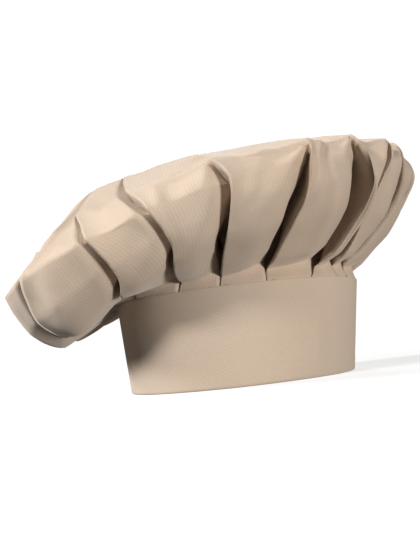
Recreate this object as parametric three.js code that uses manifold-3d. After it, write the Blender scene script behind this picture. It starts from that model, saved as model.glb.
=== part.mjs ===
// Chef's toque: a floppy pleated crown sewn into a stiffened headband that closes at the back.
//
// Millimetres, +Z up. The origin is the centre of the head opening, in the plane of the
// headband's lower edge. -Y is the front of the hat and +X the wearer's left. The crown
// stands up on the +X side and flops over towards -X. The headband's flap is at the back,
// on the +Y side, and peels open round an upright fold line.
import * as THREE from "three";
import { mergeVertices } from "three/addons/utils/BufferGeometryUtils.js";
import Module from "manifold-3d";

const wasm = await Module();
wasm.setup();

// ---- driving dimensions -------------------------------------------------------------
const GAP = 0.3; // between pieces that touch
const FABRIC = 0.4; // one layer of twill
const STIFFENER = 0.5; // interfacing inside the headband

const OPENING_HALF_X = 96; // outside of the headband at its lower edge
const OPENING_HALF_Y = 98;
const BAND_HEIGHT = 75;
const BAND_FLARE = 8.5; // how far the top of the headband leans out, on average
const BAND_FLARE_LEAN = 3.5; // more of it on +X, less on -X
const BAND_FLARE_BACK = 5.5; // the closure keeps the back this much straighter

const TAPE = 0.8; // hook or loop tape
const TAPE_HEIGHT = 20;
const BAND_THICKNESS = 2 * FABRIC + STIFFENER + 2 * GAP;
const FLAP_LIFT = BAND_THICKNESS + 2 * TAPE + 3 * GAP; // the flap lies over the tapes

// Angles round the headband, in degrees anticlockwise from +X, so 90 is the back.
const FOLD_LINE = 107.5; // where the flap bends
const RAMP_END = 124; // the overlapping end climbs from here to the fold line
const UNDER_TIP = 112; // tip of the end that lies underneath
const FLAP_TIP = 70;
const FULL_TURN = 360;

const SKIRT_DEPTH = 9; // crown edge held between the walls of the headband
const CROWN_WALL = 1.6; // stands for two or three layers of pleated twill
const PLEAT_STEPS = 4; // facets across one pleat
const CROWN_STEPS = 15; // facets from headband to crown centre

// Folded edges of the pleats, where each one overlaps its neighbour.
const PLEAT_EDGES = [-146.5, -123, -105, -86, -66, -49.5, -33, -13, 7, 27, 47, 67, 87, 107, 127, 147, 168, 191];

// Rings of the crown, from the headband to the middle of the top. Each gives radius and
// height on the +X side, on both Y sides, and on the -X side where the crown flops over.
const CROWN_RINGS = [
  { name: "lip", left: [111, 83], side: [111, 83], right: [112, 80], pleat: 3 },
  { name: "fall", left: [124, 96], side: [128, 94], right: [128, 60], pleat: 8 },
  { name: "belly", left: [143, 116], side: [150, 108], right: [150, 46], pleat: 12 },
  { name: "side", left: [161, 138], side: [167, 128], right: [175, 58], pleat: 13 },
  { name: "widest", left: [172, 158], side: [168, 147], right: [188, 88], pleat: 10 },
  { name: "shoulder", left: [164, 177], side: [152, 165], right: [170, 130], pleat: 5 },
  { name: "brow", left: [124, 186], side: [107, 177], right: [122, 164], pleat: 0 },
  { name: "top", left: [62, 187], side: [52, 182], right: [60, 175], pleat: 0 },
];
const CROWN_CENTRE_Z = 181;

// ---- helpers ------------------------------------------------------------------------
const radians = (degrees) => (degrees * Math.PI) / 180;
const smooth = (t) => t * t * (3 - 2 * t);
const clamp01 = (t) => Math.min(1, Math.max(0, t));

function solidOf(geometry) {
  const bare = geometry.index ? geometry.toNonIndexed() : geometry.clone();
  bare.deleteAttribute("normal");
  bare.deleteAttribute("uv");
  const merged = mergeVertices(bare, 1e-4);
  return new wasm.Manifold(
    new wasm.Mesh({
      numProp: 3,
      vertProperties: new Float32Array(merged.attributes.position.array),
      triVerts: new Uint32Array(merged.index.array),
    }),
  );
}

function geometryOf(solid) {
  const mesh = solid.getMesh();
  const geometry = new THREE.BufferGeometry();
  geometry.setAttribute("position", new THREE.BufferAttribute(mesh.vertProperties, 3));
  geometry.setIndex(new THREE.BufferAttribute(mesh.triVerts, 1));
  return geometry;
}

// How far the overlapping end of the headband stands off the round.
const rampLift = (angle) => FLAP_LIFT * smooth(clamp01((RAMP_END - angle) / (RAMP_END - FOLD_LINE)));

// A point on the headband's round in plan, offset outwards.
function planPoint(angle, offset) {
  const a = radians(angle);
  return new THREE.Vector2((OPENING_HALF_X + offset) * Math.cos(a), (OPENING_HALF_Y + offset) * Math.sin(a));
}

// How far the headband leans out at a height.
function flareAt(a, z) {
  const back = Math.max(0, Math.sin(a)) ** 2;
  return ((BAND_FLARE + BAND_FLARE_LEAN * Math.cos(a) - BAND_FLARE_BACK * back) * z) / BAND_HEIGHT;
}

// An upright strip that follows the headband's round: outer is the offset of its outer
// face, thickness goes inwards, and lift is added to both.
function strip({ from, to, outer, thickness, bottom, top, lift = () => 0, stepAngle = 4 }) {
  const steps = Math.ceil(Math.abs(to - from) / stepAngle);
  const outside = [];
  const inside = [];
  for (let i = 0; i <= steps; i++) {
    const angle = from + ((to - from) * i) / steps;
    outside.push(planPoint(angle, outer + lift(angle)));
    inside.unshift(planPoint(angle, outer - thickness + lift(angle)));
  }
  const geometry = new THREE.ExtrudeGeometry(new THREE.Shape([...outside, ...inside]), {
    depth: top - bottom,
    bevelEnabled: false,
  });
  geometry.translate(0, 0, bottom);
  return solidOf(geometry);
}

// Leans a finished strip out with the headband.
function flared(solid) {
  const geometry = geometryOf(solid);
  const position = geometry.attributes.position;
  for (let i = 0; i < position.count; i++) {
    const a = Math.atan2(position.getY(i), position.getX(i));
    const lean = flareAt(a, position.getZ(i));
    position.setX(i, position.getX(i) + lean * Math.cos(a));
    position.setY(i, position.getY(i) + lean * Math.sin(a));
  }
  return geometry;
}

// A rectangle with rounded corners on the +X side, standing in the XZ plane and passing
// through everything along Y: it trims the free end of a flap piece.
function endTrim(freeEndX, bottom, top, radius) {
  const inner = -200;
  const outline = new THREE.Shape();
  outline.moveTo(inner, bottom);
  outline.lineTo(freeEndX - radius, bottom);
  outline.absarc(freeEndX - radius, bottom + radius, radius, -Math.PI / 2, 0, false);
  outline.lineTo(freeEndX, top - radius);
  outline.absarc(freeEndX - radius, top - radius, radius, 0, Math.PI / 2, false);
  outline.lineTo(inner, top);
  const geometry = new THREE.ExtrudeGeometry(outline, { depth: 200, bevelEnabled: false, curveSegments: 4 });
  geometry.rotateX(Math.PI / 2);
  geometry.translate(0, 200, 0);
  return solidOf(geometry);
}

// ---- crown --------------------------------------------------------------------------
// Blends a value given at +X, at both Y sides and at -X round the whole crown.
function roundCrown(a, left, side, right) {
  const c = Math.cos(a);
  return side + ((left - right) / 2) * c + ((left + right) / 2 - side) * c * c;
}

// Radius of the headband's outer face at a height, in the direction a.
function bandRadius(a, z) {
  const mean = (OPENING_HALF_X + OPENING_HALF_Y) / 2;
  const oval = (OPENING_HALF_Y - OPENING_HALF_X) / 2;
  return mean - Math.cos(2 * a) * oval + flareAt(a, z);
}

// The crown's profile in one direction, from the top of its skirt to the centre.
function crownProfile(a) {
  const points = [new THREE.Vector3(bandRadius(a, BAND_HEIGHT) - FABRIC - GAP, BAND_HEIGHT + GAP, 0)];
  for (const ring of CROWN_RINGS) {
    points.push(
      new THREE.Vector3(
        roundCrown(a, ring.left[0], ring.side[0], ring.right[0]),
        roundCrown(a, ring.left[1], ring.side[1], ring.right[1]),
        0,
      ),
    );
  }
  points.push(new THREE.Vector3(0, CROWN_CENTRE_Z, 0));
  return new THREE.CatmullRomCurve3(points, false, "centripetal");
}

// Depth of the pleats along the profile, in millimetres.
function pleatDepth(t) {
  const depths = [0, ...CROWN_RINGS.map((ring) => ring.pleat), 0];
  const place = t * (depths.length - 1);
  const i = Math.min(depths.length - 2, Math.floor(place));
  return depths[i] + (depths[i + 1] - depths[i]) * (place - i);
}

// Across one pleat the cloth rolls away from the folded edge and dives under the next one.
const PLEAT_SECTION = [0, 0.06, 0.35, 1];
const PLEAT_SHARE = [0, 0.3, 0.72, 0.93];

// The direction of column i. Columns follow the folds, and space out evenly in the skirt.
function columnAngle(i, even) {
  const count = PLEAT_EDGES.length;
  const pleat = Math.floor(i / PLEAT_STEPS) % count;
  const start = PLEAT_EDGES[pleat];
  const end = pleat + 1 < count ? PLEAT_EDGES[pleat + 1] : PLEAT_EDGES[0] + FULL_TURN;
  const step = i % PLEAT_STEPS;
  const share = even ? step / PLEAT_STEPS : PLEAT_SHARE[step];
  return radians(start + (end - start) * share);
}

// A closed dome of the crown's outer shape, taken in by inset along the profile's normal.
// Its skirt hangs down into the headband to skirtBottom.
function crownDome(inset, skirtBottom) {
  const columns = PLEAT_EDGES.length * PLEAT_STEPS;
  const rows = CROWN_STEPS + 3; // centre of the floor, foot of the skirt, then the profile
  const placeholder = Array.from({ length: rows }, (_, j) => new THREE.Vector2(j === 0 || j === rows - 1 ? 0 : 1, j));
  const geometry = new THREE.LatheGeometry(placeholder, columns);
  const position = geometry.attributes.position;
  for (let i = 0; i <= columns; i++) {
    const section = PLEAT_SECTION[i % PLEAT_STEPS];
    for (let j = 0; j < rows; j++) {
      const a = columnAngle(i % columns, j <= 2);
      const profile = crownProfile(a);
      let radius;
      let height;
      if (j === 0) {
        radius = 0;
        height = skirtBottom;
      } else if (j === 1) {
        radius = bandRadius(a, skirtBottom) - FABRIC - GAP - Math.min(inset, STIFFENER);
        height = skirtBottom;
      } else {
        const t = (j - 2) / CROWN_STEPS;
        const point = profile.getPoint(t);
        const tangent = profile.getTangent(t);
        const wall = j === 2 ? Math.min(inset, STIFFENER) : inset;
        const inwards = wall + pleatDepth(t) * section;
        radius = t === 1 ? 0 : point.x - tangent.y * inwards;
        height = t === 1 ? CROWN_CENTRE_Z - inset : point.y + tangent.x * inwards;
      }
      position.setXYZ(i * rows + j, radius * Math.cos(a), radius * Math.sin(a), height);
    }
  }
  geometry.deleteAttribute("normal");
  geometry.deleteAttribute("uv");
  return solidOf(geometry);
}

function crown() {
  const skirtBottom = BAND_HEIGHT - SKIRT_DEPTH;
  const shell = crownDome(0, skirtBottom).subtract(crownDome(CROWN_WALL, skirtBottom - 5));
  // The skirt stops either side of the ramp, where the headband's two ends pass each other.
  const notch = strip({
    from: UNDER_TIP - 1,
    to: RAMP_END + 1,
    outer: 25,
    thickness: 50,
    bottom: skirtBottom - 10,
    top: BAND_HEIGHT + GAP,
  });
  return geometryOf(shell.subtract(notch));
}

// ---- headband -----------------------------------------------------------------------
// One strip of twill folded along its lower edge: two walls with a slot between them.
function headbandCover() {
  const run = { from: FOLD_LINE + 0.5, to: FULL_TURN + UNDER_TIP, lift: rampLift };
  const block = strip({ ...run, outer: 0, thickness: BAND_THICKNESS, bottom: 0, top: BAND_HEIGHT });
  const slot = strip({
    ...run,
    from: FOLD_LINE,
    to: FULL_TURN + UNDER_TIP + 0.5,
    outer: -FABRIC,
    thickness: STIFFENER + 2 * GAP,
    bottom: 1,
    top: BAND_HEIGHT + 5,
  });
  return flared(block.subtract(slot));
}

function headbandStiffener() {
  return flared(
    strip({
      from: FOLD_LINE + 1,
      to: FULL_TURN + UNDER_TIP - 0.5,
      lift: rampLift,
      outer: -FABRIC - GAP,
      thickness: STIFFENER,
      bottom: 1 + GAP,
      top: BAND_HEIGHT - SKIRT_DEPTH - 1,
    }),
  );
}

// A strip sewn flat against the inner wall of the headband.
function innerStrip(from, to, bottom, top, thickness, standOff = GAP) {
  return flared(strip({ from, to, bottom, top, thickness, outer: -BAND_THICKNESS - standOff }));
}

const BINDING_THICKNESS = 0.6;
const SWEATBAND_THICKNESS = 1.2;
const LABEL_THICKNESS = 0.3;

// ---- closure ------------------------------------------------------------------------
const FLAP_BOTTOM = 2.5;
const FLAP_TOP = BAND_HEIGHT - 1.5;
const FLAP_CORNER = 8;
const FLAP_END_X = planPoint(FLAP_TIP, FLAP_LIFT).x;
const UPPER_TAPE_BOTTOM = 46;
const LOWER_TAPE_BOTTOM = 9;
const flapLift = () => FLAP_LIFT;

function flapCover() {
  const run = { to: FLAP_TIP, lift: flapLift, stepAngle: 3 };
  const block = strip({
    ...run,
    from: FOLD_LINE,
    outer: 0,
    thickness: BAND_THICKNESS,
    bottom: FLAP_BOTTOM,
    top: FLAP_TOP,
  });
  const pocket = strip({
    ...run,
    from: FOLD_LINE + 0.5,
    to: FLAP_TIP + 1,
    outer: -FABRIC,
    thickness: STIFFENER + 2 * GAP,
    bottom: FLAP_BOTTOM + 1,
    top: FLAP_TOP - 1,
  });
  // The pocket's mouth is at the fold line, where the stiffener went in.
  const roundEnd = endTrim(FLAP_END_X, FLAP_BOTTOM, FLAP_TOP, FLAP_CORNER);
  const roundPocket = endTrim(FLAP_END_X - 1, FLAP_BOTTOM + 1, FLAP_TOP - 1, FLAP_CORNER - 1);
  return flared(block.intersect(roundEnd).subtract(pocket.intersect(roundPocket)));
}

function flapStiffener() {
  const block = strip({
    from: FOLD_LINE - 1,
    to: FLAP_TIP + 1.5,
    lift: flapLift,
    stepAngle: 3,
    outer: -FABRIC - GAP,
    thickness: STIFFENER,
    bottom: FLAP_BOTTOM + 1 + GAP,
    top: FLAP_TOP - 1 - GAP,
  });
  const trim = endTrim(FLAP_END_X - 1.5, FLAP_BOTTOM + 1 + GAP, FLAP_TOP - 1 - GAP, FLAP_CORNER - 1);
  return flared(block.intersect(trim));
}

function hookTape(bottom) {
  const outer = -BAND_THICKNESS - GAP;
  const top = bottom + TAPE_HEIGHT;
  return flared(
    strip({ from: 99, to: FLAP_TIP + 2, lift: flapLift, stepAngle: 3, outer, thickness: TAPE, bottom, top }),
  );
}

function loopTape(bottom) {
  const top = bottom + TAPE_HEIGHT;
  return flared(strip({ from: 104, to: 52, outer: GAP + TAPE, thickness: TAPE, stepAngle: 3, bottom, top }));
}

// ---- materials ----------------------------------------------------------------------
const twill = new THREE.MeshStandardMaterial({ color: 0xc4ad95, roughness: 0.9, metalness: 0 });
const interfacing = new THREE.MeshStandardMaterial({ color: 0xefece4, roughness: 0.95, metalness: 0 });
const terry = new THREE.MeshStandardMaterial({ color: 0xd9cbb6, roughness: 1, metalness: 0 });
const binding = new THREE.MeshStandardMaterial({ color: 0xb59f87, roughness: 0.9, metalness: 0 });
const tape = new THREE.MeshStandardMaterial({ color: 0xb8a68f, roughness: 0.8, metalness: 0 });
const satin = new THREE.MeshStandardMaterial({ color: 0xf2f0ea, roughness: 0.5, metalness: 0 });

// ---- assembly -----------------------------------------------------------------------
const toque = new THREE.Group();

function add(name, geometry, material) {
  const mesh = new THREE.Mesh(geometry, material);
  mesh.name = name;
  toque.add(mesh);
}

add("crown", crown(), twill);
add("headband_cover", headbandCover(), twill);
add("headband_stiffener", headbandStiffener(), interfacing);
add("sweatband", innerStrip(200, 340, 3, 33, SWEATBAND_THICKNESS), terry);
add("seam_binding", innerStrip(126, FULL_TURN + UNDER_TIP - 2, 62, 74, BINDING_THICKNESS), binding);
add("care_label", innerStrip(48, 62, 30, 61, LABEL_THICKNESS), satin);
add("loop_tape_upper", loopTape(UPPER_TAPE_BOTTOM), tape);
add("loop_tape_lower", loopTape(LOWER_TAPE_BOTTOM), tape);
add("flap_cover", flapCover(), twill);
add("flap_stiffener", flapStiffener(), interfacing);
add("hook_tape_upper", hookTape(UPPER_TAPE_BOTTOM), tape);
add("hook_tape_lower", hookTape(LOWER_TAPE_BOTTOM), tape);

export default toque;
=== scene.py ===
"""Makes a floppy pleated chef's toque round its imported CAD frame, as an add-on run from a script."""

import math

import bmesh
import bpy
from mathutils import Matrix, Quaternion, Vector, noise


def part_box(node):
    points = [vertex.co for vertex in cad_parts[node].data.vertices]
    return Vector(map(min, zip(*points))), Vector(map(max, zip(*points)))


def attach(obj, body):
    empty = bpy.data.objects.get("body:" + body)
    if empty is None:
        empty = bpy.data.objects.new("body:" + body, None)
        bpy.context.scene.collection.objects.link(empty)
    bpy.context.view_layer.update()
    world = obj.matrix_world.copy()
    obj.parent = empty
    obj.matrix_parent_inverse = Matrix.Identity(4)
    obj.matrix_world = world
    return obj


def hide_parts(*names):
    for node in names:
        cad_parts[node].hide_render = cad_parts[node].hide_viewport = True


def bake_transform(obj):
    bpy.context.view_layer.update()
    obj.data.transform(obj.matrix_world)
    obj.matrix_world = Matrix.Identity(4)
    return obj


bl_info = {
    "name": "Chef's Toque",
    "version": (1, 0, 0),
    "blender": (4, 5, 0),
    "location": "3D View > Sidebar > Toque",
    "description": "Makes the cloth, trim and stage of a pleated chef's hat round its CAD frame",
    "category": "Object",
}

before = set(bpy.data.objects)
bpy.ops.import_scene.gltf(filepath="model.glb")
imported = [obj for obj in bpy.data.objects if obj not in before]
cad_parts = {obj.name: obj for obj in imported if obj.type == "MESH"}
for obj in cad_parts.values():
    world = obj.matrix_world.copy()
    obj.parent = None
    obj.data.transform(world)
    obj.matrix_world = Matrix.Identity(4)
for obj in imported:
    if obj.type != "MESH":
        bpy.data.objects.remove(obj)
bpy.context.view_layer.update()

MM = 0.001
FULL_TURN = 360.0

# ---- the headband's form, read from the frame ---------------------------------------
band_low, band_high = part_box("headband_cover")
rim = [v.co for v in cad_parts["headband_cover"].data.vertices if v.co.z < MM]
RIM_HALF_X = max(abs(co.x) for co in rim) / MM
RIM_HALF_Y = -min(co.y for co in rim) / MM
BAND_HEIGHT = band_high.z / MM
FLARE = (band_high.x - band_low.x) / 2 / MM - RIM_HALF_X
FLARE_LEAN = (band_high.x + band_low.x) / 2 / MM
FLARE_BACK = 5.5  # the closure keeps the back this much straighter
TWILL = 0.4  # one layer
BAND_WALL = 1.9  # two layers of twill with the stiffener between them
TAPE = 0.8  # hook or loop tape
SEAT = 0.3  # room between pieces that touch
FLAP_LIFT = BAND_WALL + 2 * TAPE + 3 * SEAT  # the flap lies over both tapes
FOLD_LINE = 107.5  # degrees round the band, where the flap bends
RAMP_END = 124.0  # the overlapping end climbs from here to the fold line
UNDER_TIP = 112.0
FLAP_START = 110.0
FLAP_TIP = 70.0
FLAP_BOTTOM = 2.5
FLAP_TOP = BAND_HEIGHT - 1.5
UPPER_TAPE, LOWER_TAPE = (46.0, 66.0), (9.0, 29.0)
BAND_COLUMNS = 236

# ---- the crown's form ---------------------------------------------------------------
# Rings from the headband to the middle of the top, in millimetres: radius and height on the
# +X side, at the front and back, and on the -X side, where the crown flops over.
CROWN_RINGS = (
    ("lip", (105.5, 83), (101.5, 83), (107, 78)),
    ("eave", (117, 90), (116, 89), (118, 72)),
    ("belly", (141, 113), (146, 109), (148, 49)),
    ("side", (158, 137), (161, 127), (173, 60)),
    ("widest", (167, 156), (165, 144), (194, 88)),
    ("shoulder", (161, 173), (155, 160), (165, 122)),
    ("brow", (122, 184), (107, 176), (119, 161)),
    ("top", (62, 187), (52, 182), (60, 175)),
)
CROWN_CENTRE = (-30, 181)  # x and height of the middle of the cloth
SKIRT = 9.0  # cloth held inside the headband

# The pleats, anticlockwise. Each folded edge is given by its direction at these rings, the
# ring at which the fold has run out, how far it gapes, and how far its neighbour rolls in.
PATH_RINGS = (0, 2, 3.5, 5, 6, 7)
PLEATS = (
    ((-149, -141, -128.5, -131, -139, -147), 6.7, 0.9, 9),
    ((-122.5, -119, -113, -116, -123, -132), 7.7, 1.3, 10),
    ((-104.5, -102.5, -98.5, -97.5, -101), 6.2, 1.9, 13),
    ((-85.5, -83, -78, -77, -74.5), 5.9, 1.6, 12),
    ((-65.5, -56, -53.5, -59, -60), 6.3, 2.4, 15),
    ((-49.5, -49, -51, -47.5, -44), 6.2, 1.3, 8),
    ((-40.5, -36, -33.5, -39, -37), 6.1, 1.1, 8),
    ((-13, -9, -14, -19, -18), 6.0, 1.0, 8),
    ((7, 12, 9, 5, 6), 6.1, 1.0, 8),
    ((27, 31, 27, 24, 25), 6.2, 0.8, 8),
    ((47, 51, 49, 49, 48), 5.9, 1.2, 8),
    ((67, 71, 69, 66, 67), 6.2, 0.9, 8),
    ((87, 92, 90, 91, 90), 6.0, 1.2, 9),
    ((107, 111, 108, 106, 107), 6.2, 0.8, 8),
    ((127, 132, 131, 130, 128), 5.9, 1.1, 8),
    ((147, 151, 148, 146, 147), 6.1, 0.9, 9),
    ((168, 172, 171, 172, 171), 6.1, 0.9, 9),
    ((191, 192, 197, 207.5, 210), 5.9, 0.8, 9),
)
PANEL_COLUMNS = 14
DIVE_COLUMNS = 5
CORNER_RISE = 2.0  # how far the cloth stands up where a fold runs out
TONGUE_COLUMNS = 4
ROWS_PER_RING = 9
GRAIN_RING = 6.0  # up to here each panel's grain runs straight; past it the panels join

POUCH = 9.0  # how much lower the loose cloth hangs where the crown flops over
POUCH_AT, POUCH_SPREAD = 172.0, 26.0  # degrees

# Creases left by pressing and packing, each standing out from its panel: the panel's number,
# the rings it runs between, its shares across the panel there, its height, and its width
# as a share of the panel.
CREASES = (
    (1, (3.6, 6.6), (0.06, 0.38), 2.4, 0.08),
    (17, (1.6, 6.2), (0.42, 0.50), 4.5, 0.26),
    (16, (2.6, 6.2), (0.50, 0.60), 3.5, 0.15),
    (4, (1.8, 5.8), (0.26, 0.20), 1.8, 0.08),
    (4, (2.4, 5.6), (0.55, 0.50), 1.5, 0.08),
    (3, (1.4, 5.2), (0.66, 0.52), 2.2, 0.13),
    (3, (3.2, 6.3), (0.16, 0.30), 2.4, 0.09),
    (2, (3.8, 6.6), (0.30, 0.58), 1.6, 0.10),
    (9, (3.0, 6.3), (0.30, 0.50), 1.9, 0.08),
    (13, (2.6, 6.2), (0.55, 0.30), 2.0, 0.08),
    (15, (3.4, 6.4), (0.25, 0.45), 1.5, 0.09),
)


def smooth(t):
    t = min(1.0, max(0.0, t))
    return t * t * (3 - 2 * t)


def mix(a, b, t):
    return a + (b - a) * t


def through(places, values, place):
    """A value on the smooth line through values given at places."""
    last = len(places) - 1
    place = min(places[last], max(places[0], place))
    i = next(k for k in range(last) if place <= places[k + 1])

    def slope(k):
        low, high = max(0, k - 1), min(last, k + 1)
        return (values[high] - values[low]) / (places[high] - places[low])

    span = places[i + 1] - places[i]
    t = (place - places[i]) / span
    h = t * t * (3 - 2 * t)
    lean = slope(i) * (t ** 3 - 2 * t * t + t) + slope(i + 1) * (t ** 3 - t * t)
    return mix(values[i], values[i + 1], h) + span * lean


# ---- the headband's surface ---------------------------------------------------------
def ramp_lift(angle):
    """How far the overlapping end of the headband stands off the round."""
    return FLAP_LIFT * smooth((RAMP_END - angle) / (RAMP_END - FOLD_LINE))


def full_lift(angle):
    """How far the flap stands off the round."""
    return FLAP_LIFT


def no_lift(angle):
    return 0.0


def flare_at(a, z):
    back = max(0.0, math.sin(a)) ** 2
    return (FLARE + FLARE_LEAN * math.cos(a) - FLARE_BACK * back) * z / BAND_HEIGHT


def band_soft(a, z):
    """Small bends of the stiffened cloth, at the front and sides only."""
    front = smooth(-math.sin(a) * 2 + 0.6)
    bends = ((-63, 0.8), (-51, 0.6), (-152, 0.5))
    bend = sum(depth * math.exp(-abs(math.degrees(a) - at) / 5) for at, depth in bends)
    wave = 0.7 * noise.noise(Vector((2.2 * math.cos(a), 2.2 * math.sin(a), z * 0.009)))
    return (bend + wave) * front


def band_point(angle, z, offset):
    """A point on the headband, in metres: an angle in degrees, then a height and an offset
    outwards from the headband's outer face, both in millimetres."""
    a = math.radians(angle)
    x, y = (RIM_HALF_X + offset) * math.cos(a), (RIM_HALF_Y + offset) * math.sin(a)
    a = math.atan2(y, x)
    out = flare_at(a, z) + band_soft(a, z)
    return Vector((x + out * math.cos(a), y + out * math.sin(a), z)) * MM


# ---- making pieces ------------------------------------------------------------------
def finish_piece(name, bm, body, material, replaces=(), wall=None):
    """Turns a bmesh into a named piece that rides on a body of the frame."""
    mesh = bpy.data.meshes.new(name)
    for face in bm.faces:
        face.smooth = True
    bm.to_mesh(mesh)
    bm.free()
    piece = bpy.data.objects.new(name, mesh)
    bpy.context.scene.collection.objects.link(piece)
    mesh.materials.append(material)
    if wall:
        shell = piece.modifiers.new("cloth_thickness", "SOLIDIFY")
        shell.thickness = wall * MM
        shell.offset = -1
    if body:
        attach(piece, body)
    if replaces:
        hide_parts(*replaces)
    return piece


ARC = 2 * math.pi * (RIM_HALF_X + RIM_HALF_Y) / 2 / FULL_TURN  # millimetres of round to a degree


def wrap(bm, lift):
    """Wraps flat work round the headband: x is degrees times ARC, y height, z offset."""
    layer = bm.loops.layers.uv.verify()
    for face in bm.faces:
        for loop in face.loops:
            loop[layer].uv = (loop.vert.co.x * MM, (loop.vert.co.y + loop.vert.co.z) * MM)
    for vert in bm.verts:
        angle = vert.co.x / ARC
        vert.co = band_point(angle, vert.co.y, vert.co.z + lift(angle))


def cut_across(bm, step, low, high, axis):
    """Cuts flat work into even strips, so that it can bend."""
    count = max(1, round((high - low) / step))
    for k in range(1, count):
        at = low + (high - low) * k / count
        geom = bm.verts[:] + bm.edges[:] + bm.faces[:]
        place = Vector((at, 0, 0)) if axis == 0 else Vector((0, at, 0))
        normal = Vector((1, 0, 0)) if axis == 0 else Vector((0, 1, 0))
        bmesh.ops.bisect_plane(bm, geom=geom, dist=1e-4, plane_co=place, plane_no=normal)


def flat_slab(start, end, bottom, top, outer, thickness, corner=0.0, edge=0.0, corners_at=None):
    """A flat slab with rounded corners and edges, laid out for wrap()."""
    bm = bmesh.new()
    low, high = min(start, end) * ARC, max(start, end) * ARC
    bmesh.ops.create_grid(bm, x_segments=1, y_segments=1, size=0.5)
    for vert in bm.verts:
        x = low if vert.co.x < 0 else high
        y = bottom if vert.co.y < 0 else top
        vert.co = Vector((x, y, outer - thickness))
    if corner:
        chosen = [v for v in bm.verts if corners_at is None or abs(v.co.x - corners_at * ARC) < 0.01]
        bmesh.ops.bevel(
            bm, geom=chosen, offset=corner, segments=5, profile=0.5, affect="VERTICES", material=-1
        )
    grown = bmesh.ops.extrude_face_region(bm, geom=bm.faces[:])
    bmesh.ops.translate(
        bm, vec=(0, 0, thickness), verts=[g for g in grown["geom"] if isinstance(g, bmesh.types.BMVert)]
    )
    bmesh.ops.recalc_face_normals(bm, faces=bm.faces)
    if edge:
        rims = [e for e in bm.edges if abs(e.verts[0].co.z - e.verts[1].co.z) < 1e-4]
        bmesh.ops.bevel(
            bm, geom=rims, offset=edge, segments=2, profile=0.5, affect="EDGES", material=-1,
            clamp_overlap=True,
        )
    cut_across(bm, 3.0, low, high, 0)
    cut_across(bm, 8.0, bottom, top, 1)
    return bm


# ---- shaders ------------------------------------------------------------------------
class Wire:
    """A shader socket that takes part in sums."""

    def __init__(self, finish, socket):
        self.finish = finish
        self.socket = socket

    def _math(self, operation, first, second=None):
        sockets = {0: first} if second is None else {0: first, 1: second}
        return self.finish.node("ShaderNodeMath", {"operation": operation}, sockets)

    def __add__(self, other):
        return self._math("ADD", self, other)

    def __radd__(self, other):
        return self._math("ADD", other, self)

    def __sub__(self, other):
        return self._math("SUBTRACT", self, other)

    def __rsub__(self, other):
        return self._math("SUBTRACT", other, self)

    def __mul__(self, other):
        return self._math("MULTIPLY", self, other)

    def __rmul__(self, other):
        return self._math("MULTIPLY", other, self)

    def __pow__(self, other):
        return self._math("POWER", self, other)

    def sine(self):
        return self._math("SINE", self)

    def clipped(self):
        return self.finish.node("ShaderNodeClamp", {}, {0: self})


class Finish:
    """One material, made of nodes."""

    def __init__(self, name, roughness):
        self.material = bpy.data.materials.new(name)
        self.material.use_nodes = True
        self.nodes = self.material.node_tree.nodes
        self.links = self.material.node_tree.links
        self.shader = self.nodes["Principled BSDF"]
        self.shader.inputs["Roughness"].default_value = roughness

    def node(self, kind, settings, sockets, output=0):
        """Adds a node: its settings first, then the values or links of its sockets."""
        made = self.nodes.new(kind)
        for key, value in settings.items():
            if key == "stops":
                ramp = made.color_ramp
                while len(ramp.elements) < len(value):
                    ramp.elements.new(1.0)
                for element, (position, colour) in zip(ramp.elements, value):
                    element.position = position
                    element.color = colour
            else:
                setattr(made, key, value)
        for key, value in sockets.items():
            if isinstance(value, Wire):
                self.links.new(value.socket, made.inputs[key])
            else:
                made.inputs[key].default_value = value
        return Wire(self, made.outputs[output])

    def feed(self, socket, wire):
        self.links.new(wire.socket, self.shader.inputs[socket])

    def cloth_place(self, scale=(1.0, 1.0, 1.0), turn=0.0):
        """Where a point lies on the flat cloth, in metres, scaled and turned."""
        uv = self.node("ShaderNodeTexCoord", {}, {}, "UV")
        return self.node(
            "ShaderNodeMapping", {}, {"Vector": uv, "Rotation": (0, 0, math.radians(turn)), "Scale": scale}
        )

    def space_place(self):
        return self.node("ShaderNodeTexCoord", {}, {}, "Object")

    def speckle(self, place, scale, detail=2.0, rough=0.5):
        return self.node(
            "ShaderNodeTexNoise", {}, {"Vector": place, "Scale": scale, "Detail": detail, "Roughness": rough}
        )

    def blend(self, factor, first, second, how="MIX"):
        """Mixes two colours; the colours sit on the Mix node's own colour sockets."""
        return self.node(
            "ShaderNodeMix", {"data_type": "RGBA", "blend_type": how}, {0: factor, 6: first, 7: second}, 2
        )

    def toned(self, colour, tone):
        """A colour made darker or paler by a tone that varies."""
        if not isinstance(colour, Wire):
            colour = tuple(colour)[:3]
        return self.node("ShaderNodeVectorMath", {"operation": "SCALE"}, {0: colour, 3: tone})

    def stripes(self, place, axis, pitch_mm):
        """A wave from 0 to 1 along one axis of a place."""
        along = self.node("ShaderNodeSeparateXYZ", {}, {0: place}, axis)
        return (along * (2 * math.pi / (pitch_mm * MM))).sine() * 0.5 + 0.5

    def bump(self, height, distance_mm, strength=1.0, under=None):
        sockets = {"Height": height, "Distance": distance_mm * MM, "Strength": strength}
        if under:
            sockets["Normal"] = under
        return self.node("ShaderNodeBump", {}, sockets)


def shade(colour, factor):
    return tuple(min(1.0, c * factor) for c in colour[:3]) + (1.0,)


WARM_CAST = (1.02, 0.975, 0.93)  # the drift of the cloth's colour, red to blue


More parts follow.
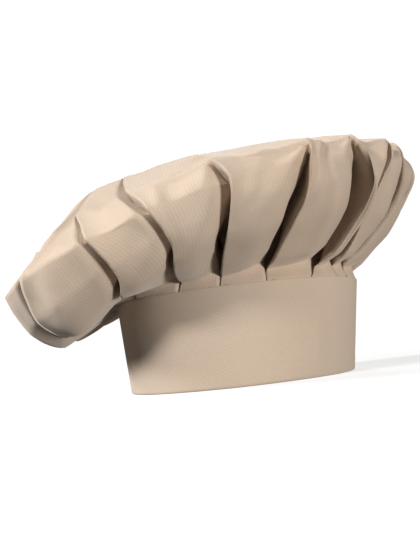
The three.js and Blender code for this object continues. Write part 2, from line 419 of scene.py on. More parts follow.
def twill_finish(name, colour, rib_turn, rib):
    """Matt polycotton twill: slanting ribs, uneven yarn, and folded edges and ironed creases painted paler,
    partly as rubbed cloth and partly as a painted highlight.
    """
    finish = Finish(name, 0.86)
    place = finish.cloth_place(turn=rib_turn)
    ribs = finish.stripes(place, 0, 2.3)
    fine = finish.stripes(place, 0, 0.72)
    cross = finish.stripes(finish.cloth_place(turn=rib_turn + 58), 0, 0.58)
    yarn = finish.speckle(finish.cloth_place((1.0, 0.22, 1.0), rib_turn), 1500.0, 3.0, 0.6)
    grain = finish.speckle(place, 900.0, 2.0, 0.6)
    cloud = finish.speckle(finish.space_place(), 11.0, 3.0, 0.55)
    cast = finish.speckle(finish.space_place(), 5.0, 1.0, 0.5)
    # folded edges and ironed creases are painted paler: partly rubbed cloth, partly a painted highlight where
    # light catches them
    wear_and_highlight = finish.node("ShaderNodeAttribute", {"attribute_name": "fold_wear"}, {}, "Fac")
    tone = 0.83 + ribs * rib + fine * 0.03 + yarn * 0.16 + grain * 0.13 + (cloud - 0.5) * 0.16
    warmer = tuple(c * k for c, k in zip(colour[:3], WARM_CAST)) + (1.0,)
    warm = finish.blend((cast * 3.0 - 1.0).clipped(), shade(colour, 1.0), warmer)
    base = finish.toned(warm, tone)
    worn_and_highlit = finish.blend((wear_and_highlight * (0.08 + 0.22 * grain)).clipped(), base, shade(colour, 1.38))
    finish.feed("Base Color", worn_and_highlit)
    finish.feed("Roughness", 0.80 + grain * 0.14)
    weave = finish.bump(fine * 0.6 + cross * 0.4 + yarn * 0.8, 0.12, 0.55)
    coarse = finish.bump(ribs * 0.5 + grain * 1.0, 0.16, 0.5, weave)
    soft = finish.speckle(finish.space_place(), 95.0, 3.0, 0.55)
    finish.feed("Normal", finish.bump(soft, 0.8, 0.3, coarse))
    shader = finish.shader.inputs
    shader["Sheen Weight"].default_value = 0.26
    shader["Sheen Roughness"].default_value = 0.5
    shader["Sheen Tint"].default_value = (1.0, 0.96, 0.9, 1.0)
    shader["Specular IOR Level"].default_value = 0.25
    return finish.material


def interfacing_finish(colour):
    """Bonded non-woven stiffener: short random fibres pressed flat with small dimples."""
    finish = Finish("interfacing", 0.95)
    fibres = finish.speckle(finish.cloth_place((1.0, 0.3, 1.0), 20), 1800.0, 4.0, 0.7)
    dimples = finish.node(
        "ShaderNodeTexVoronoi", {}, {"Vector": finish.cloth_place(), "Scale": 650.0}, "Distance"
    )
    tone = 0.88 + fibres * 0.18 + dimples * 0.06
    finish.feed("Base Color", finish.toned(colour, tone))
    finish.feed("Roughness", 0.86 + fibres * 0.12)
    finish.feed("Normal", finish.bump(fibres * 0.6 + dimples * 0.6, 0.15, 0.6))
    return finish.material


def terry_finish(colour):
    """Looped cotton: rows of small loops with shaded roots."""
    finish = Finish("terry", 1.0)
    place = finish.cloth_place()
    loops = finish.node(
        "ShaderNodeTexVoronoi", {}, {"Vector": place, "Scale": 780.0, "Randomness": 0.7}, "Distance"
    )
    tufts = finish.speckle(place, 330.0, 3.0, 0.6)
    cloud = finish.speckle(finish.space_place(), 30.0, 2.0, 0.5)
    high = 1.0 - (loops * 1.5).clipped()
    tone = 0.62 + high * 0.34 + tufts * 0.16 + (cloud - 0.5) * 0.14
    finish.feed("Base Color", finish.toned(colour, tone))
    finish.feed("Roughness", 0.9 + tufts * 0.1)
    finish.feed("Normal", finish.bump(high + tufts * 0.7, 0.7, 0.8))
    finish.shader.inputs["Sheen Weight"].default_value = 0.35
    finish.shader.inputs["Sheen Roughness"].default_value = 0.6
    return finish.material


def plain_weave_finish(name, colour, pitch_mm, roughness=0.88):
    """Plain weave: yarns over and under, used for the binding tape and the thread."""
    finish = Finish(name, roughness)
    place = finish.cloth_place()
    warp = finish.stripes(place, 0, pitch_mm)
    weft = finish.stripes(place, 1, pitch_mm)
    yarn = finish.speckle(place, 1400.0, 3.0, 0.6)
    cloud = finish.speckle(finish.space_place(), 40.0, 2.0, 0.5)
    over = warp * weft + (1 - warp) * (1 - weft)
    tone = 0.80 + over * 0.12 + yarn * 0.16 + (cloud - 0.5) * 0.12
    finish.feed("Base Color", finish.toned(colour, tone))
    finish.feed("Roughness", roughness - 0.06 + yarn * 0.12)
    finish.feed("Normal", finish.bump(over * 0.8 + yarn * 0.5, 0.12, 0.7))
    finish.shader.inputs["Sheen Weight"].default_value = 0.12
    return finish.material


def tape_finish(name, colour, hooks):
    """Nylon closing tape: a brushed pile of loops, or rows of stiff little hooks."""
    finish = Finish(name, 0.72)
    place = finish.cloth_place()
    if hooks:
        rows = finish.stripes(place, 0, 1.3)
        pins = finish.stripes(place, 1, 1.1)
        pile = (rows * pins) ** 1.5
        strength = 0.9
    else:
        pile = finish.speckle(finish.cloth_place((1.0, 0.5, 1.0), 30), 1100.0, 5.0, 0.75)
        strength = 0.7
    dust = finish.speckle(place, 420.0, 3.0, 0.6)
    cloud = finish.speckle(finish.space_place(), 35.0, 2.0, 0.5)
    tone = 0.70 + pile * 0.36 + dust * 0.12 + (cloud - 0.5) * 0.1
    finish.feed("Base Color", finish.toned(colour, tone))
    finish.feed("Roughness", 0.62 + dust * 0.25)
    finish.feed("Normal", finish.bump(pile + dust * 0.4, 0.5, strength))
    return finish.material


def satin_finish(colour):
    """Ribbon satin: long floats along the ribbon with a quiet gloss."""
    finish = Finish("label_satin", 0.42)
    floats = finish.speckle(finish.cloth_place((0.12, 1.0, 1.0)), 1500.0, 3.0, 0.6)
    cloud = finish.speckle(finish.space_place(), 60.0, 2.0, 0.5)
    tone = 0.92 + floats * 0.1 + (cloud - 0.5) * 0.05
    finish.feed("Base Color", finish.toned(colour, tone))
    finish.feed("Roughness", 0.34 + floats * 0.2)
    finish.feed("Normal", finish.bump(floats, 0.05, 0.5))
    finish.shader.inputs["Sheen Weight"].default_value = 0.2
    return finish.material


def finish_named(name):
    """Makes a material the first time that it is asked for."""
    known = bpy.data.materials.get(name)
    if known:
        return known
    colours = bpy.context.scene.toque_colours
    makers = {
        "crown_twill": lambda: twill_finish("crown_twill", colours.twill, 60, 0.075),
        "band_twill": lambda: twill_finish("band_twill", colours.band, 58, 0.02),
        "interfacing": lambda: interfacing_finish(colours.interfacing),
        "terry": lambda: terry_finish(colours.terry),
        "binding_tape": lambda: plain_weave_finish("binding_tape", colours.binding, 0.9),
        "thread": lambda: plain_weave_finish("thread", colours.thread, 0.5, 0.7),
        "hook_tape": lambda: tape_finish("hook_tape", colours.tape, True),
        "loop_tape": lambda: tape_finish("loop_tape", colours.tape, False),
        "label_satin": lambda: satin_finish(colours.label),
    }
    return makers[name]()


# ---- the crown ----------------------------------------------------------------------
def round_crown(a, left, side, right):
    """Blends values given at +X, at front and back, and at -X round the whole crown."""
    c = math.cos(a)
    return side + (left - right) / 2 * c + ((left + right) / 2 - side) * c * c


def pouch_share(a):
    """How near direction a is to the middle of the hanging pouch, from 0 to 1."""
    off = (math.degrees(a) - POUCH_AT + FULL_TURN / 2) % FULL_TURN - FULL_TURN / 2
    return math.exp(-((off / POUCH_SPREAD) ** 2))


def crown_knots(a, lip_share, lip_rise):
    """The knots of the crown's profile in direction a, in millimetres."""
    knots = []
    for height in (BAND_HEIGHT - SKIRT, BAND_HEIGHT):
        foot = band_point(math.degrees(a), height, -1.0) / MM
        knots.append((math.hypot(foot.x, foot.y), height))
    for name, left, side, right in CROWN_RINGS:
        radius, height = (round_crown(a, left[k], side[k], right[k]) for k in (0, 1))
        if name in ("lip", "eave"):
            rise = lip_rise * lip_share * round_crown(a, 0.9, 1.0, 0.45)
            height += rise
            radius -= 0.12 * rise if name == "lip" else 0
            height -= POUCH * pouch_share(a) * (0.55 if name == "lip" else 1.0)
        knots.append((radius, height))
    knots.append((0.0, CROWN_CENTRE[1]))
    return knots


def crease_share(a, place):
    """How sharply the cloth bends from ring to ring: most at the lip and the shoulder, and
    on the flopped side, where it has folded over."""
    flopped = smooth(-math.cos(a) * 1.6 - 0.5)
    lip = math.exp(-(((place - 2) / 0.5) ** 2))
    shoulder = math.exp(-(((place - 7) / 0.6) ** 2))
    return min(0.95, 0.2 + 0.75 * lip + 0.75 * shoulder + 0.4 * flopped)


def profile_point(a, knots, place):
    """A point on the profile, between the smooth line and the straight line of its knots."""
    i = min(len(knots) - 2, max(0, int(place)))
    t = place - i
    p1, p2 = knots[i], knots[i + 1]
    p0 = knots[i - 1] if i else (2 * p1[0] - p2[0], 2 * p1[1] - p2[1])
    p3 = knots[i + 2] if i + 2 < len(knots) else (-knots[i][0], knots[i][1])
    c0, c1, c2 = (
        max(1e-4, math.hypot(q[0] - p[0], q[1] - p[1])) ** 0.5 for p, q in ((p0, p1), (p1, p2), (p2, p3))
    )
    sharp = crease_share(a, place)
    h = t * t * (3 - 2 * t)
    out = []
    for k in (0, 1):
        m1 = ((p1[k] - p0[k]) / c0 - (p2[k] - p0[k]) / (c0 + c1) + (p2[k] - p1[k]) / c1) * c1
        m2 = ((p2[k] - p1[k]) / c1 - (p3[k] - p1[k]) / (c1 + c2) + (p3[k] - p2[k]) / c2) * c1
        curve = mix(p1[k], p2[k], h) + m1 * (t ** 3 - 2 * t * t + t) + m2 * (t ** 3 - t * t)
        out.append(mix(curve, mix(p1[k], p2[k], t), sharp))
    return out


def crease_depth(i, ring, share):
    """Depth of the pressed creases of panel i; they stand out from the cloth."""
    depth = 0.0
    for panel, (low, high), (low_share, high_share), height, width in CREASES:
        if panel == i and low < ring < high:
            t = (ring - low) / (high - low)
            near = (share - mix(low_share, high_share, t)) / width
            depth -= height * math.exp(-near * near) * smooth(t * 5) * smooth((1 - t) * 5)
    return depth


def pleat_section(i, ring, radius, pitch, fullness, sag):
    """Points across pleat i at a ring, in mm: (along, depth, lip share, paling of the folded edge as rubbed
    cloth and a painted highlight). The panel starts at its own folded edge, dives on its right under the next
    folded edge, turns at the tongue's tip and comes back to that edge."""
    _, reach, gape, rolled_in = PLEATS[(i + 1) % len(PLEATS)]
    wide = radius * pitch
    life = max(0.0, 1 - max(0.0, ring) / reach)  # 1 at the headband, 0 where the fold ends
    opened = smooth((1 - life) * 2.4) * smooth(life * 4.5)
    parted = smooth((ring - 0.8) / 3.4) * smooth(life * 5)
    dive = 0.1 + wide * 0.15 * gape * parted
    tuck = fullness * (math.degrees(pitch) / 20) * life ** (9.5 / rolled_in)
    deep = min(0.6 + rolled_in * 2.6 * opened, 0.6 + tuck * 0.95)
    steep = math.radians(mix(2, 52, smooth((1 - life) * 1.3)))
    panel = wide - dive
    shoulder = smooth((ring - 3) / 2) * smooth((7.5 - ring) / 2)
    sunk = sag * shoulder - 2.5 * smooth(ring / 2) * smooth((5.5 - ring) / 2)
    turned = min(deep * 0.3, 4.0) * mix(0.4, 1, parted)
    # how pale the folded edge is painted, fading up the crown: rubbed cloth and a painted highlight on the
    # crisp edge
    worn_and_highlit = smooth(life * 6) * smooth(ring)

    def surface(share):
        """Depth of the open panel: sunk in the middle, proud at its corners, and creased."""
        hollow = sunk * (1 - abs(2 * share - 1) ** 1.5)
        proud = -CORNER_RISE * shoulder * abs(2 * share - 1) ** 3
        return hollow + proud + crease_depth(i, ring, share)

    points = []
    for k in range(PANEL_COLUMNS):
        share = (k / (PANEL_COLUMNS - 1)) ** 1.2
        away = max(0.0, (share - 0.55) / 0.45) ** 2 * turned
        crease_wear_and_highlight = min(0.5, -crease_depth(i, ring, share) * 0.2)  # ironed creases are painted paler too: rubbed cloth and a painted highlight
        wear_and_highlight = worn_and_highlit if k == 0 else max(0.0, crease_wear_and_highlight)
        points.append((share * panel, away + surface(share), share, wear_and_highlight))
    proud = -CORNER_RISE * shoulder
    for k in range(1, DIVE_COLUMNS + 1):
        t = k / DIVE_COLUMNS
        points.append((mix(panel, wide, t ** 0.9), mix(turned + proud, deep, t ** 0.9), 1.0, 0.0))
    tip = (wide + tuck * math.cos(steep), deep + tuck * math.sin(steep))
    for k in range(1, TONGUE_COLUMNS + 1):
        t = k / TONGUE_COLUMNS
        points.append((mix(wide, tip[0], t), mix(deep, tip[1], t), 1.0, 0.0))
    for k in range(1, TONGUE_COLUMNS):
        t = k / TONGUE_COLUMNS
        points.append((mix(tip[0], wide, t), mix(tip[1], proud, t), 1 - t, 0.0))
    spent = smooth(1 - life * 18)  # past its end the fold is gone and the columns spread out
    if spent:
        for k, (along, depth, lip, wear_and_highlight) in enumerate(points):
            share = k / len(points)
            points[k] = (mix(along, share * wide, spent), mix(depth, surface(share), spent), lip, wear_and_highlight)
    return points


def crown_position(a, ring, depth, lip_share, lip_rise):
    """A point on the crown: direction, ring number, depth below the outer face."""
    knots = crown_knots(a, lip_share, lip_rise)
    place = ring + 1
    r, z = profile_point(a, knots, place)
    r0, z0 = profile_point(a, knots, max(0.0, place - 0.15))
    r1, z1 = profile_point(a, knots, min(len(knots) - 1.0, place + 0.15))
    long = math.hypot(r1 - r0, z1 - z0) or 1.0
    if ring <= 0:
        depth *= 0.5
    fade = smooth((9 - ring) / 1.5)
    spot = Vector((r * math.cos(a), r * math.sin(a), z))
    wave = 1.5 * noise.noise(spot / 40) + 0.7 * noise.noise(spot / 15)
    depth = (depth + wave * smooth(ring)) * fade
    r -= (z1 - z0) / long * depth
    z += (r1 - r0) / long * depth
    shift = CROWN_CENTRE[0] * smooth((ring - 5.5) / 3.5)
    return Vector((r * math.cos(a) + shift, r * math.sin(a), z)) * MM


PLEAT_COLUMNS = PANEL_COLUMNS + DIVE_COLUMNS + 2 * TONGUE_COLUMNS - 1
CROWN_COLUMNS = len(PLEATS) * PLEAT_COLUMNS
LAST_RING = len(CROWN_RINGS) + 1


def crown_rows():
    rows = [-1.0, -0.5]
    for ring in range(LAST_RING):
        rows += [ring + k / ROWS_PER_RING for k in range(ROWS_PER_RING)]
    return rows + [LAST_RING - 0.02]


def cloth_lengths(rows, lip_rise):
    """How far along the cloth each row lies, measured up the front."""
    front = -math.pi / 2
    knots = crown_knots(front, 0.4, lip_rise)
    lengths, total, last = [], 0.0, None
    for ring in rows:
        here = profile_point(front, knots, ring + 1)
        total += math.hypot(here[0] - last[0], here[1] - last[1]) if last else 0.0
        lengths.append(total)
        last = here
    return lengths


def crown_row(ring, lip_rise, fullness, sag):
    """One row round the crown: (place, edge paling as rubbed cloth and painted highlight, cloth laid so far,
    pleat) for each column, the cloth laid at the middle of each open panel, and the whole length laid."""
    edges = [math.radians(through(PATH_RINGS[: len(path)], path, ring)) for path, *_ in PLEATS]
    row, middles, laid = [], [], 0.0
    for i, start in enumerate(edges):
        end = edges[(i + 1) % len(edges)] + (2 * math.pi if i == len(edges) - 1 else 0)
        pitch = end - start
        middle = start + pitch / 2
        radius = profile_point(middle, crown_knots(middle, 0.5, lip_rise), ring + 1)[0]
        radius = max(radius, 4.0)
        section = pleat_section(i, ring, radius, pitch, fullness, sag)
        middles.append(laid + section[PANEL_COLUMNS - 1][0] / 2)
        before = None
        for along, depth, lip, wear_and_highlight in section:
            if before:
                laid += math.hypot(along - before[0], depth - before[1])
            before = (along, depth)
            row.append((crown_position(start + along / radius, ring, depth, lip, lip_rise), wear_and_highlight, laid, i))
        laid += math.hypot(radius * pitch - before[0], before[1])
    return row, middles, laid


def make_crown(settings):
    rows = crown_rows()
    bm = bmesh.new()
    bmesh.ops.create_grid(bm, x_segments=CROWN_COLUMNS, y_segments=len(rows) - 1, size=0.5)
    bm.verts.ensure_lookup_table()
    # how pale each folded edge and ironed crease is painted: rubbed cloth and a painted highlight
    wear_and_highlight_layer = bm.verts.layers.float.new("fold_wear")
    across = CROWN_COLUMNS + 1
    shape = (settings.lip_rise / MM, settings.fullness / MM, settings.sag / MM)
    lengths = cloth_lengths(rows, shape[0])
    flat_radius = lengths[-1] + SKIRT
    _, middles, whole = crown_row(GRAIN_RING, *shape)
    centres = [2 * math.pi * laid / whole for laid in middles]
    flat = {}
    for j, ring in enumerate(rows):
        row, middles, whole = crown_row(ring, *shape)
        reach = flat_radius - lengths[j]
        even = smooth((ring - GRAIN_RING + 0.5) / 1.0)
        for k, (place, wear_and_highlight, laid, i) in enumerate(row):
            vert = bm.verts[j * across + k]
            vert.co = place
            vert[wear_and_highlight_layer] = wear_and_highlight
            true = centres[i] + (laid - middles[i]) / reach
            flat[vert.index] = (reach * MM, mix(true, 2 * math.pi * laid / whole, even))
        first, last = bm.verts[j * across], bm.verts[j * across + CROWN_COLUMNS]
        last.co = first.co
        last[wear_and_highlight_layer] = first[wear_and_highlight_layer]
        flat[last.index] = (reach * MM, flat[first.index][1] + 2 * math.pi)
    layer = bm.loops.layers.uv.new("flat_cut")
    for face in bm.faces:
        for loop in face.loops:
            reach, turn = flat[loop.vert.index]
            loop[layer].uv = (reach * math.cos(turn), reach * math.sin(turn))
    bmesh.ops.remove_doubles(bm, verts=bm.verts, dist=1e-6)
    top = [e for e in bm.edges if e.is_boundary and e.verts[0].co.z > 0.15]
    bmesh.ops.contextual_create(bm, geom=top)
    bmesh.ops.recalc_face_normals(bm, faces=bm.faces)
    return finish_piece(
        "crown_cloth", bm, "hat", finish_named("crown_twill"), ("crown",), wall=settings.cloth / MM
    )


# ---- the headband -------------------------------------------------------------------
def folded_section():
    """The headband's cloth in section, from its raw edge inside the front wall, over the
    top, down the front, round the hem and up the inside: (offset, height) in mm."""
    wall = BAND_WALL
    top = BAND_HEIGHT
    front = [(0.0, mix(top - 0.8, 2.4, k / 12)) for k in range(13)]
    hem = [(-0.12, 1.3), (-0.4, 0.45), (-0.95, 0.0), (-1.5, 0.45), (-1.78, 1.3)]
    inside = [(-wall, mix(2.4, top - 0.8, k / 12)) for k in range(13)]
    over = [(-0.62, top - 6), (-0.6, top - 0.9), (-0.5, top - 0.35), (-0.3, top - 0.1), (-0.1, top - 0.3)]
    back = [(-wall + 0.1, top - 0.3), (-wall + 0.3, top - 0.1), (-wall + 0.5, top - 0.35)]
    back += [(-wall + 0.6, top - 0.9), (-wall + 0.62, top - 6)]
    return over + front + hem + inside + back


def make_headband():
    section = folded_section()
    start, end = FLAP_START + 0.05, FULL_TURN + UNDER_TIP
    columns = BAND_COLUMNS
    bm = bmesh.new()
    bmesh.ops.create_grid(bm, x_segments=columns, y_segments=len(section) - 1, size=0.5)
    bm.verts.ensure_lookup_table()
    layer = bm.loops.layers.uv.new("flat_cut")
    lengths = [0.0]
    for p, q in zip(section, section[1:]):
        lengths.append(lengths[-1] + math.hypot(q[0] - p[0], q[1] - p[1]))
    places = {}
    for i in range(columns + 1):
        angle = mix(start, end, i / columns)
        closing = 1 - min(1.0, min(i, columns - i))  # the ends are turned in and sewn shut
        for j, (offset, height) in enumerate(section):
            vert = bm.verts[j * (columns + 1) + i]
            pinched = mix(offset, -BAND_WALL / 2 + (0.42 if offset > -BAND_WALL / 2 else -0.42), closing)
            vert.co = band_point(angle, height, pinched + ramp_lift(angle))
            places[vert.index] = (angle * ARC * MM, lengths[j] * MM)
    for face in bm.faces:
        for loop in face.loops:
            loop[layer].uv = places[loop.vert.index]
    # Faces point outwards: all are turned over if the one furthest forward looks back.
    bm.normal_update()
    front = min(bm.faces, key=lambda f: f.calc_center_median().y)
    if front.normal.y > 0:
        bmesh.ops.reverse_faces(bm, faces=bm.faces)
    cloth = finish_piece(
        "headband_cloth", bm, "hat", finish_named("band_twill"), ("headband_cover",), wall=TWILL
    )
    core = flat_slab(
        FLAP_START + 1, FULL_TURN + UNDER_TIP - 1, 1.5, BAND_HEIGHT - SKIRT - 1, -TWILL - 0.15, 0.75, edge=0.1
    )
    wrap(core, ramp_lift)
    stiffener = finish_piece(
        "headband_interfacing", core, "hat", finish_named("interfacing"),
        ("headband_stiffener",),
    )
    return cloth, stiffener


# ---- lining, closure and stitches ---------------------------------------------------
LINING = -BAND_WALL - SEAT  # outer side of whatever is sewn to the inner wall


def make_lining():
    sweat = flat_slab(200, 340, 3, 33, LINING, 1.2, corner=3.0, edge=0.35)
    wrap(sweat, no_lift)
    sweatband = finish_piece("sweatband_terry", sweat, "hat", finish_named("terry"), ("sweatband",))
    bind = flat_slab(RAMP_END + 2, FULL_TURN + UNDER_TIP - 2, 62, 74, LINING, 0.6, edge=0.22)
    wrap(bind, no_lift)
    binding = finish_piece(
        "seam_tape", bind, "hat", finish_named("binding_tape"), ("seam_binding",)
    )
    ribbon = flat_slab(48, 62, 30, 61, LINING, 0.3, corner=0.6, edge=0.1)
    for vert in ribbon.verts:
        low = smooth((58 - vert.co.y) / 30)
        vert.co.z -= 0.5 * low * (1 + 0.5 * math.sin(vert.co.x * 0.4))  # hangs a little free of the wall
    wrap(ribbon, no_lift)
    label = finish_piece("blank_label", ribbon, "hat", finish_named("label_satin"), ("care_label",))
    return sweatband, binding, label


def make_closure():
    bm = flat_slab(
        FLAP_START, FLAP_TIP, FLAP_BOTTOM, FLAP_TOP, 0.0, BAND_WALL, corner=8.0, edge=0.6, corners_at=FLAP_TIP
    )
    wrap(bm, ramp_lift)
    flap = finish_piece(
        "flap_cloth", bm, None, finish_named("band_twill"), ("flap_cover",), wall=TWILL
    )
    core = flat_slab(
        FOLD_LINE - 1.5, FLAP_TIP + 1.5, FLAP_BOTTOM + 1.3, FLAP_TOP - 1.3, -0.6, 0.7,
        corner=7.0, edge=0.1, corners_at=FLAP_TIP + 1.5,
    )
    wrap(core, ramp_lift)
    stiffener = finish_piece(
        "flap_interfacing", core, "flap", finish_named("interfacing"), ("flap_stiffener",)
    )
    tapes = []
    for word, (bottom, top) in (("upper", UPPER_TAPE), ("lower", LOWER_TAPE)):
        loop = flat_slab(104, 52, bottom, top, SEAT + TAPE, TAPE, corner=1.5, edge=0.3)
        wrap(loop, no_lift)
        name, cloth = f"loop_strip_{word}", finish_named("loop_tape")
        tapes.append(finish_piece(name, loop, "hat", cloth, (f"loop_tape_{word}",)))
        hook = flat_slab(99, FLAP_TIP + 2, bottom, top, -BAND_WALL - SEAT, TAPE, corner=1.5, edge=0.3)
        wrap(hook, full_lift)
        name, cloth = f"hook_strip_{word}", finish_named("hook_tape")
        tapes.append(finish_piece(name, hook, "flap", cloth, (f"hook_tape_{word}",)))
    return flap, stiffener, tapes


def sew(bm, start, end, offset, pitch, fat):
    """A row of stitches in flat work, from start to end, each given as (mm along, height)."""
    start, end = Vector((start[0], start[1], 0)), Vector((end[0], end[1], 0))
    run = end - start
    count = max(1, round(run.length / pitch))
    turn = math.atan2(run.y, run.x)
    cos, sin = math.cos(turn), math.sin(turn)
    for k in range(count):
        made = bmesh.ops.create_uvsphere(bm, u_segments=6, v_segments=4, radius=0.5)["verts"]
        bmesh.ops.scale(bm, vec=(fat, fat * 0.8, pitch * 0.78), verts=made)
        middle = start + run * ((k + 0.5) / count)
        for vert in made:
            along, side, up = vert.co.z, vert.co.x, vert.co.y
            x = middle.x + along * cos - side * sin
            y = middle.y + along * sin + side * cos
            vert.co = Vector((x, y, offset + up))


def sew_box(bm, start, end, bottom, top, offset, pitch, fat, inset):
    """Stitches round a rectangle, inset from its edges."""
    low, high = min(start, end) * ARC + inset, max(start, end) * ARC - inset
    bottom, top = bottom + inset, top - inset
    corners = [(low, bottom), (high, bottom), (high, top), (low, top)]
    for p, q in zip(corners, corners[1:] + corners[:1]):
        sew(bm, p, q, offset, pitch, fat)


def make_stitches(settings):
    pitch, fat = settings.stitch / MM, settings.thread / MM
    thread = finish_named("thread")
    hat = bmesh.new()
    inner_face = LINING - 1.2
    for height in (5.0, 31.0):
        sew(hat, (202 * ARC, height), (338 * ARC, height), inner_face, pitch, fat)
    start, end = (RAMP_END + 3) * ARC, (FULL_TURN + UNDER_TIP - 3) * ARC
    sew(hat, (start, 63.2), (end, 63.2), LINING - 0.6, pitch, fat)
    sew(hat, (49 * ARC, 59.5), (61 * ARC, 59.5), LINING - 0.3, pitch, fat)
    for bottom, top in (UPPER_TAPE, LOWER_TAPE):
        sew_box(hat, 104, 52, bottom, top, SEAT + TAPE, pitch, fat, 1.4)
    wrap(hat, no_lift)
    hat_row = finish_piece("hat_stitches", hat, "hat", thread)
    over = bmesh.new()
    sew(over, (111.5 * ARC, 2.0), (111.5 * ARC, BAND_HEIGHT - 2), 0.0, pitch, fat)
    wrap(over, ramp_lift)
    join_row = finish_piece("join_stitches", over, "hat", thread)
    flap = bmesh.new()
    edge, cut = 3.0, 6  # distance from the flap's edge, and size of the cut corners
    low, high = FLAP_TIP * ARC + edge, 105.0 * ARC
    bottom, top = FLAP_BOTTOM + edge, FLAP_TOP - edge
    for start, end in (
        ((low + cut, bottom), (high, bottom)),
        ((low + cut, top), (high, top)),
        ((low, bottom + cut), (low, top - cut)),
        ((low, bottom + cut), (low + cut, bottom)),
        ((low, top - cut), (low + cut, top)),
    ):
        sew(flap, start, end, 0.0, pitch, fat)
    for bottom, top in (UPPER_TAPE, LOWER_TAPE):
        sew_box(flap, 99, FLAP_TIP + 2, bottom, top, 0.0, pitch, fat, 1.4)
        sew_box(flap, 99, FLAP_TIP + 2, bottom, top, -BAND_WALL - SEAT - TAPE, pitch, fat, 1.4)
    wrap(flap, full_lift)
    flap_row = finish_piece("flap_stitches", flap, "flap", thread)
    return hat_row, join_row, flap_row


# ---- stage --------------------------------------------------------------------------
VIEW_AZIMUTH, VIEW_ELEVATION, VIEW_ROLL = -8.0, -6.5, -6.5
VIEW_DISTANCE = 0.616
FILM = 36  # millimetres along the longer side of the picture
FOCAL_SHARE = 700 / 540  # focal length as a share of that side
VIEW_TARGET = Vector((-0.0175, 0.0, 0.099))
FLOOR_RADIUS, SURROUND_RADIUS = 4.0, 4.5


def glowing(name, strength, diffuse):
    finish = Finish(name, 1.0)
    shader = finish.shader.inputs
    shader["Base Color"].default_value = (diffuse, diffuse, diffuse, 1.0)
    shader["Specular IOR Level"].default_value = 0.0
    shader["Emission Color"].default_value = (1.0, 1.0, 1.0, 1.0)
    shader["Emission Strength"].default_value = strength
    return finish.material


def seen_only(piece):
    """Keeps a stage piece in view, without its lighting the hat."""
    piece.visible_diffuse = False
    piece.visible_glossy = False
    piece.visible_transmission = False
    piece.visible_volume_scatter = False


def make_stage(settings):
    bm = bmesh.new()
    bmesh.ops.create_circle(bm, cap_ends=True, segments=96, radius=FLOOR_RADIUS)
    floor = finish_piece("floor", bm, None, glowing("floor", 0.72, 0.35))
    seen_only(floor)
    floor.visible_shadow = False  # lets the low light in
    bm = bmesh.new()
    bmesh.ops.create_uvsphere(bm, u_segments=48, v_segments=24, radius=SURROUND_RADIUS)
    bmesh.ops.reverse_faces(bm, faces=bm.faces)
    surround = finish_piece("surround", bm, None, glowing("surround", 1.05, 0.0))
    seen_only(surround)
    surround.visible_shadow = False
    scene = bpy.context.scene
    world = bpy.data.worlds.new("studio")
    scene.world = world
    world.use_nodes = True
    background = world.node_tree.nodes["Background"].inputs
    background["Color"].default_value = (1.0, 0.98, 0.95, 1.0)
    background["Strength"].default_value = settings.fill
    for name in ("key", "side", "top", "back"):
        lamp = bpy.data.lights.new(name, "SUN")
        lamp.energy = getattr(settings, name)
        lamp.angle = math.radians(settings.softness)
        light = bpy.data.objects.new(name, lamp)
        scene.collection.objects.link(light)
        light.rotation_mode = "QUATERNION"
        direction = Vector(getattr(settings, f"{name}_from"))
        light.rotation_quaternion = direction.to_track_quat("Z", "Y")
    lens = bpy.data.cameras.new("camera")
    camera = bpy.data.objects.new("camera", lens)
    scene.collection.objects.link(camera)
    lens.sensor_width = FILM
    lens.lens = FOCAL_SHARE * FILM
    lens.clip_start = 0.01
    lens.clip_end = 100
    azimuth, elevation, roll = (math.radians(x) for x in (VIEW_AZIMUTH, VIEW_ELEVATION, VIEW_ROLL))
    level = math.cos(elevation)
    back = Vector((math.sin(azimuth) * level, -math.cos(azimuth) * level, math.sin(elevation)))
    camera.location = VIEW_TARGET + back * VIEW_DISTANCE
    camera.rotation_mode = "QUATERNION"
    camera.rotation_quaternion = (-back).to_track_quat("-Z", "Y") @ Quaternion((0, 0, 1), roll)
    scene.camera = camera
    scene.view_settings.view_transform = "Standard"


# ---- settings -----------------------------------------------------------------------
def length_property(name, description, default, precision=2):
    """A length; its default is given in millimetres."""
    return bpy.props.FloatProperty(
        name=name, description=description, default=default * MM, unit="LENGTH", precision=precision
    )


class ToqueClothSettings(bpy.types.PropertyGroup):
    """Sizes of the cloth and its sewing."""

    cloth: length_property("Cloth", "Thickness of the crown's twill", 0.45, 5)
    lip_rise: length_property("Lip rise", "How much further each panel stands upright on its right side", 6)
    fullness: length_property("Pleat depth", "Cloth turned under each pleat at the headband", 36)
    sag: length_property("Sag", "How far the shoulder sags between two folds", 5)
    stitch: length_property("Stitch", "Distance from stitch to stitch", 3, 4)
    thread: length_property("Thread", "Thickness of the sewing thread", 0.5, 5)


def colour_property(name, description, default):
    return bpy.props.FloatVectorProperty(
        name=name, description=description, default=default, size=4, min=0, max=1, subtype="COLOR"
    )


class ToqueColours(bpy.types.PropertyGroup):
    """Colours of the cloth and trim."""

    twill: colour_property("Twill", "Crown", (0.49, 0.388, 0.298, 1.0))
    band: colour_property("Headband", "Headband and flap", (0.505, 0.410, 0.322, 1.0))
    interfacing: colour_property("Interfacing", "Stiffener", (0.80, 0.78, 0.72, 1.0))
    terry: colour_property("Terry", "Sweatband", (0.60, 0.52, 0.41, 1.0))
    binding: colour_property("Binding", "Tape over the crown's seam", (0.44, 0.35, 0.26, 1.0))
    tape: colour_property("Closing tape", "Hook and loop tapes", (0.45, 0.365, 0.275, 1.0))
    label: colour_property("Label", "Blank satin label", (0.86, 0.85, 0.80, 1.0))
    thread: colour_property("Thread", "Sewing thread", (0.50, 0.41, 0.315, 1.0))


def strength_property(name, light, default):
    return bpy.props.FloatProperty(name=name, description=f"Strength of the {light}", default=default)


def direction_property(name, light, default):
    return bpy.props.FloatVectorProperty(
        name=f"{name} from", description=f"Direction that the {light} comes from", default=default
    )


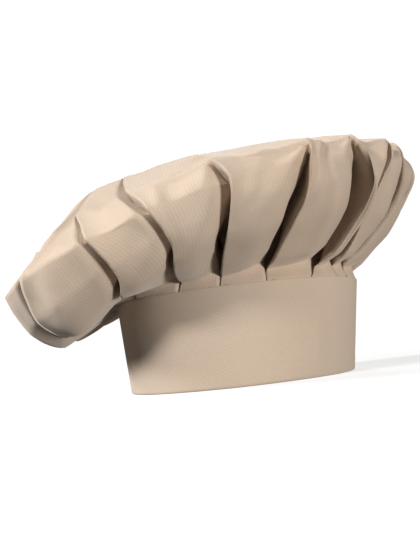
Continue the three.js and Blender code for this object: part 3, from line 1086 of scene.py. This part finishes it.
class ToqueStageSettings(bpy.types.PropertyGroup):
    """Light on the stage."""

    key: strength_property("Key", "key light", 2.6)
    key_from: direction_property("Key", "key light", (-0.78, -0.44, 0.50))
    side: strength_property("Side", "light from the right", 2.75)
    side_from: direction_property("Side", "side light", (0.50, -0.85, -0.06))
    top: strength_property("Top", "light from above", 3.2)
    top_from: direction_property("Top", "top light", (-0.86, 0.22, 0.46))
    back: strength_property("Back", "light from behind", 1.6)
    back_from: direction_property("Back", "back light", (0.10, 0.95, 0.28))
    fill: strength_property("Fill", "light all round", 0.13)
    softness: bpy.props.FloatProperty(
        name="Softness", description="Width of the lights in degrees", default=12
    )


# ---- operators ----------------------------------------------------------------------
class TOQUE_OT_crown(bpy.types.Operator):
    """Pleat the crown and set it into the headband"""

    bl_idname = "toque.crown"
    bl_label = "Make crown"

    def execute(self, context):
        crown = make_crown(context.scene.toque_cloth)
        return {"FINISHED"}


class TOQUE_OT_headband(bpy.types.Operator):
    """Fold the headband round its stiffener"""

    bl_idname = "toque.headband"
    bl_label = "Make headband"

    def execute(self, context):
        cloth, stiffener = make_headband()
        return {"FINISHED"}


class TOQUE_OT_lining(bpy.types.Operator):
    """Sew in the sweatband, the seam binding and the blank label"""

    bl_idname = "toque.lining"
    bl_label = "Make lining"

    def execute(self, context):
        sweatband, binding, label = make_lining()
        return {"FINISHED"}


class TOQUE_OT_closure(bpy.types.Operator):
    """Make the flap and its hook and loop tapes"""

    bl_idname = "toque.closure"
    bl_label = "Make closure"

    def execute(self, context):
        flap, stiffener, tapes = make_closure()
        tuple(band_point(109.0, BAND_HEIGHT / 2, FLAP_LIFT))
        tuple(band_point(106.0, BAND_HEIGHT / 2, FLAP_LIFT))
        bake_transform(flap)
        return {"FINISHED"}


class TOQUE_OT_stitches(bpy.types.Operator):
    """Sew every visible row of stitches"""

    bl_idname = "toque.stitches"
    bl_label = "Make stitches"

    def execute(self, context):
        make_stitches(context.scene.toque_cloth)
        return {"FINISHED"}


class TOQUE_OT_stage(bpy.types.Operator):
    """Set up the floor, the light and the camera"""

    bl_idname = "toque.stage"
    bl_label = "Make stage"

    def execute(self, context):
        make_stage(context.scene.toque_stage)
        if context.scene.camera is None:
            raise RuntimeError("the stage has no camera")
        return {"FINISHED"}


OPERATORS = (
    TOQUE_OT_stage,
    TOQUE_OT_crown,
    TOQUE_OT_headband,
    TOQUE_OT_lining,
    TOQUE_OT_closure,
    TOQUE_OT_stitches,
)


class TOQUE_PT_panel(bpy.types.Panel):
    """Lists the steps of the hat"""

    bl_idname = "TOQUE_PT_panel"
    bl_label = "Chef's toque"
    bl_space_type = "VIEW_3D"
    bl_region_type = "UI"
    bl_category = "Toque"

    def draw(self, context):
        column = self.layout.column()
        for group in ("toque_cloth", "toque_colours", "toque_stage"):
            settings = getattr(context.scene, group)
            for key in settings.__annotations__:
                column.prop(settings, key)
        for operator in OPERATORS:
            column.operator(operator.bl_idname)


CLASSES = (ToqueClothSettings, ToqueColours, ToqueStageSettings, *OPERATORS, TOQUE_PT_panel)


def register():
    for cls in CLASSES:
        bpy.utils.register_class(cls)
    bpy.types.Scene.toque_cloth = bpy.props.PointerProperty(type=ToqueClothSettings)
    bpy.types.Scene.toque_colours = bpy.props.PointerProperty(type=ToqueColours)
    bpy.types.Scene.toque_stage = bpy.props.PointerProperty(type=ToqueStageSettings)


def unregister():
    for name in ("toque_stage", "toque_colours", "toque_cloth"):
        delattr(bpy.types.Scene, name)
    for cls in reversed(CLASSES):
        bpy.utils.unregister_class(cls)


def main():
    register()
    bpy.ops.toque.stage()
    bpy.ops.toque.crown()
    bpy.ops.toque.headband()
    bpy.ops.toque.lining()
    bpy.ops.toque.closure()
    bpy.ops.toque.stitches()


if __name__ == "__main__":
    main()
